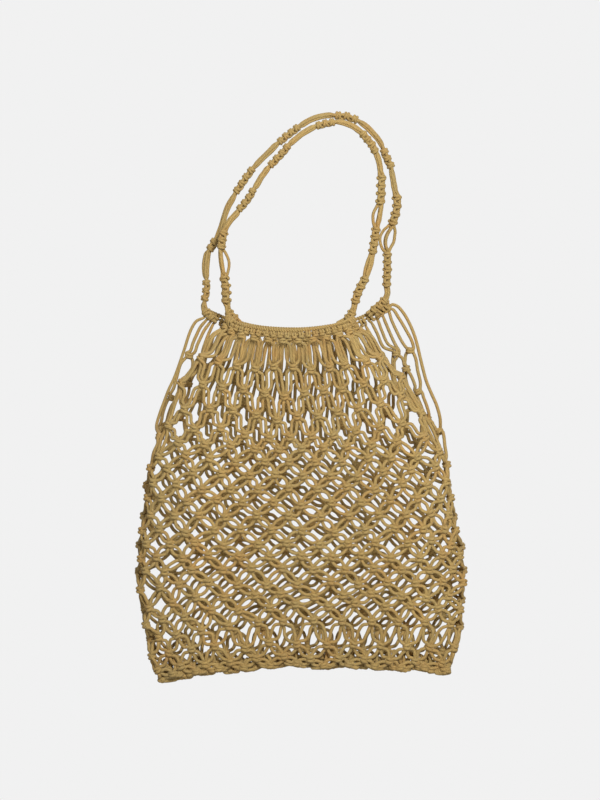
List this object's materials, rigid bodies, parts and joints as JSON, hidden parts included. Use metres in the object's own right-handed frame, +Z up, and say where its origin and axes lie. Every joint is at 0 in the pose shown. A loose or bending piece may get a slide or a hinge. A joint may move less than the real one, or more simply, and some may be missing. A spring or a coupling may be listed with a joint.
{
  "type": "mesh produce bag",
  "caption": "Knotted cord mesh tote for produce: two net panels of doubled cords hung from rim cords, closed along the bottom, with two square-knot sinnet handles that swing outward.",
  "frame": {"origin": "middle of the bounding box in x and y, at its lowest point", "axes": "+Z up through the mouth and handles, +X to the right seen from the front, -Y the front panel's outward side"},
  "size_m": [0.3228, 0.0934, 0.5661],
  "materials": {
    "net_cord": "smooth twisted plant-fibre cord, matt with a faint sheen, golden khaki",
    "rim_cord": "the same cord, hidden under the hitches",
    "handle_cord": "the same cord, tightly knotted"
  },
  "bodies": {
    "back_panel": {"back_body_cord_01": "net_cord", "back_body_cord_02": "net_cord", "back_body_cord_03": "net_cord", "back_body_cord_04": "net_cord", "back_body_cord_05": "net_cord", "back_body_cord_06": "net_cord", "back_body_cord_07": "net_cord", "back_body_cord_08": "net_cord", "back_body_cord_09": "net_cord", "back_body_cord_10": "net_cord", "back_body_cord_11": "net_cord", "back_body_cord_12": "net_cord", "back_body_cord_13": "net_cord", "back_body_cord_14": "net_cord", "back_body_cord_15": "net_cord", "back_body_cord_16": "net_cord", "back_body_cord_17": "net_cord", "back_body_cord_18": "net_cord", "back_body_cord_19": "net_cord", "back_body_cord_20": "net_cord", "back_body_cord_21": "net_cord", "back_body_cord_22": "net_cord", "back_body_cord_23": "net_cord", "back_body_cord_24": "net_cord", "back_rim_cord": "rim_cord"},
    "front_panel": {"front_body_cord_01": "net_cord", "front_body_cord_02": "net_cord", "front_body_cord_03": "net_cord", "front_body_cord_04": "net_cord", "front_body_cord_05": "net_cord", "front_body_cord_06": "net_cord", "front_body_cord_07": "net_cord", "front_body_cord_08": "net_cord", "front_body_cord_09": "net_cord", "front_body_cord_10": "net_cord", "front_body_cord_11": "net_cord", "front_body_cord_12": "net_cord", "front_body_cord_13": "net_cord", "front_body_cord_14": "net_cord", "front_body_cord_15": "net_cord", "front_body_cord_16": "net_cord", "front_body_cord_17": "net_cord", "front_body_cord_18": "net_cord", "front_body_cord_19": "net_cord", "front_body_cord_20": "net_cord", "front_body_cord_21": "net_cord", "front_body_cord_22": "net_cord", "front_body_cord_23": "net_cord", "front_body_cord_24": "net_cord", "front_rim_cord": "rim_cord"},
    "front_handle": {"front_handle_core_inner": "handle_cord", "front_handle_core_outer": "handle_cord", "front_handle_knotting_front": "handle_cord", "front_handle_knotting_rear": "handle_cord"},
    "back_handle": {"back_handle_core_inner": "handle_cord", "back_handle_core_outer": "handle_cord", "back_handle_knotting_front": "handle_cord", "back_handle_knotting_rear": "handle_cord"}
  },
  "joints": [
    {"name": "mouth_opening", "type": "hinge", "parent": "back_panel", "child": "front_panel", "pos_m": [-0.00153, 0.01678, -0.00003], "axis": [1, 0, 0], "range_deg": [0, 12]},
    {"name": "front_handle_swing", "type": "hinge", "parent": "front_panel", "child": "front_handle", "pos_m": [-0.01204, 0.00478, 0.36897], "axis": [1, 0, 0], "range_deg": [0, 90]},
    {"name": "back_handle_swing", "type": "hinge", "parent": "back_panel", "child": "back_handle", "pos_m": [-0.00603, 0.02878, 0.37297], "axis": [-1, 0, 0], "range_deg": [0, 95]}
  ]
}
